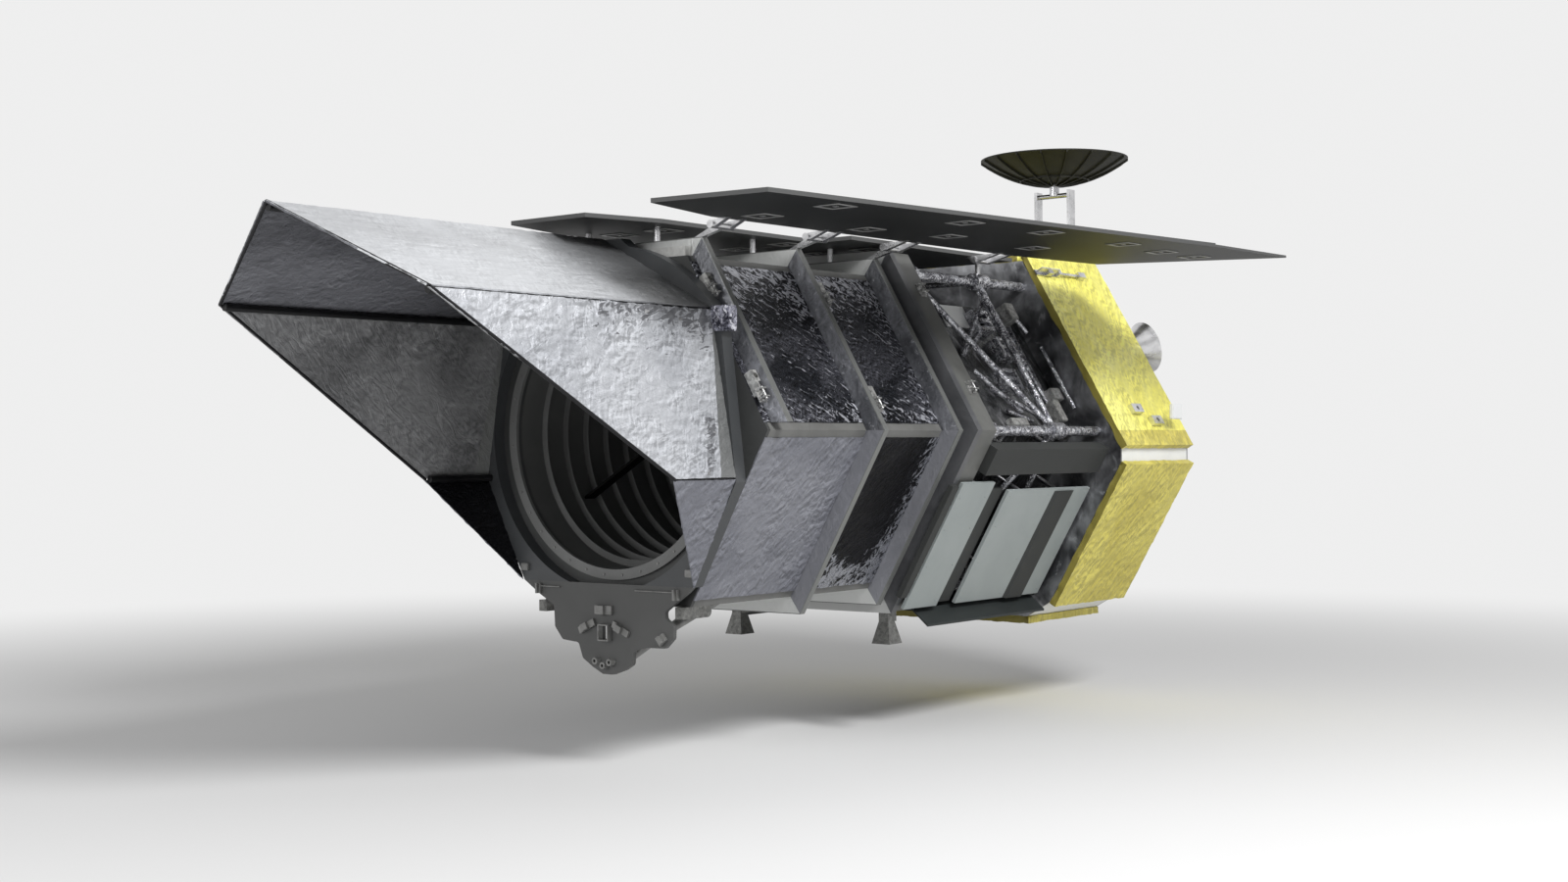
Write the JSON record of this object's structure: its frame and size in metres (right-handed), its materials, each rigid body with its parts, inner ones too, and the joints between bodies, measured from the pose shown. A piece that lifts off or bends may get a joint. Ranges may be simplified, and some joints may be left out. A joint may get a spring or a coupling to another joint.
{
  "type": "space telescope satellite",
  "caption": "Space telescope satellite with hexagonal barrel, peaked aperture cover, sun shield with folding wings, blanketed service module and steerable dish antenna.",
  "frame": {"origin": "centre of the aft face of the launch adapter ring", "axes": "+X along the telescope's line of sight, +Z towards the sun shield, +Y to the near side of the picture"},
  "size_m": [12.259, 7.35, 5.6843],
  "materials": {
    "ring_metal": "machined",
    "white_panel": "matte",
    "deck_metal": "satin",
    "yellow_blanket": "crinkled foil blanket",
    "dark_structure": "matte",
    "silver_tube": "satin",
    "radiator_paint": "satin",
    "barrel_foil": "crinkled foil blanket",
    "frame_grey": "matte",
    "black_baffle": "flat black",
    "mirror_coat": "polished",
    "cover_foil": "crinkled foil sheet",
    "shield_skin": "matte",
    "dish_skin": "matte"
  },
  "bodies": {
    "root": {"adapter_ring": "ring_metal", "aft_cup": "silver_tube", "antenna_pedestal": "silver_tube", "aperture_lip": "frame_grey", "baffle_tube": "black_baffle", "baffle_vanes": "black_baffle", "barrel_aft_frame": "dark_structure", "barrel_aft_skirt": "dark_structure", "barrel_films": "barrel_foil", "barrel_fittings": "silver_tube", "barrel_front_frame": "frame_grey", "barrel_middle_frame": "frame_grey", "barrel_rear_frame": "frame_grey", "barrel_skin": "frame_grey", "bay_closeout": "dark_structure", "bus_aft_deck": "deck_metal", "bus_blankets": "yellow_blanket", "bus_core": "white_panel", "bus_fittings": "frame_grey", "bus_front_deck": "deck_metal", "closeout_posts": "dark_structure", "cover_base_frame": "dark_structure", "cover_booms": "black_baffle", "cover_far_side_sheet": "cover_foil", "cover_far_skirt": "cover_foil", "cover_far_upper_sheet": "cover_foil", "cover_near_side_sheet": "cover_foil", "cover_near_skirt": "cover_foil", "cover_near_upper_sheet": "cover_foil", "far_bay_box": "dark_structure", "far_front_radiator": "radiator_paint", "far_hinge_lugs": "silver_tube", "far_rear_radiator": "radiator_paint", "front_bulkhead": "dark_structure", "front_lobe_plate": "dark_structure", "instrument_bay": "dark_structure", "lobe_fittings": "frame_grey", "near_bay_box": "dark_structure", "near_front_radiator": "radiator_paint", "near_hinge_lugs": "silver_tube", "near_rear_radiator": "radiator_paint", "primary_mirror": "mirror_coat", "radiator_posts": "dark_structure", "secondary_mirror": "mirror_coat", "shield_front_panel": "shield_skin", "shield_posts": "silver_tube", "shield_rear_panel": "shield_skin", "truss_braces": "silver_tube", "truss_fittings": "silver_tube", "truss_tubes": "silver_tube"},
    "near_wing": {"near_wing_panel": "shield_skin", "near_wing_flap": "shield_skin", "near_wing_leaves": "silver_tube"},
    "far_wing": {"far_wing_panel": "shield_skin", "far_wing_flap": "shield_skin", "far_wing_leaves": "silver_tube"},
    "antenna_turntable": {"antenna_yoke": "silver_tube"},
    "antenna_reflector": {"antenna_axle": "silver_tube", "antenna_dish": "dish_skin", "antenna_feed": "dish_skin"}
  },
  "joints": [
    {"name": "near_wing_fold", "type": "hinge", "parent": "root", "child": "near_wing", "pos_m": [5, 1.245, 1.893], "axis": [-1, 0, 0], "range_deg": [0, 55]},
    {"name": "far_wing_fold", "type": "hinge", "parent": "root", "child": "far_wing", "pos_m": [5, -1.245, 1.893], "axis": [1, 0, 0], "range_deg": [0, 55]},
    {"name": "antenna_azimuth", "type": "hinge", "parent": "root", "child": "antenna_turntable", "pos_m": [0.49, 0.567, 2.5], "axis": [0, 0, 1], "range_deg": [-170, 170]},
    {"name": "antenna_elevation", "type": "hinge", "parent": "antenna_turntable", "child": "antenna_reflector", "pos_m": [0.49, 0.567, 2.936], "axis": [0, 1, 0], "range_deg": [-75, 75]}
  ]
}
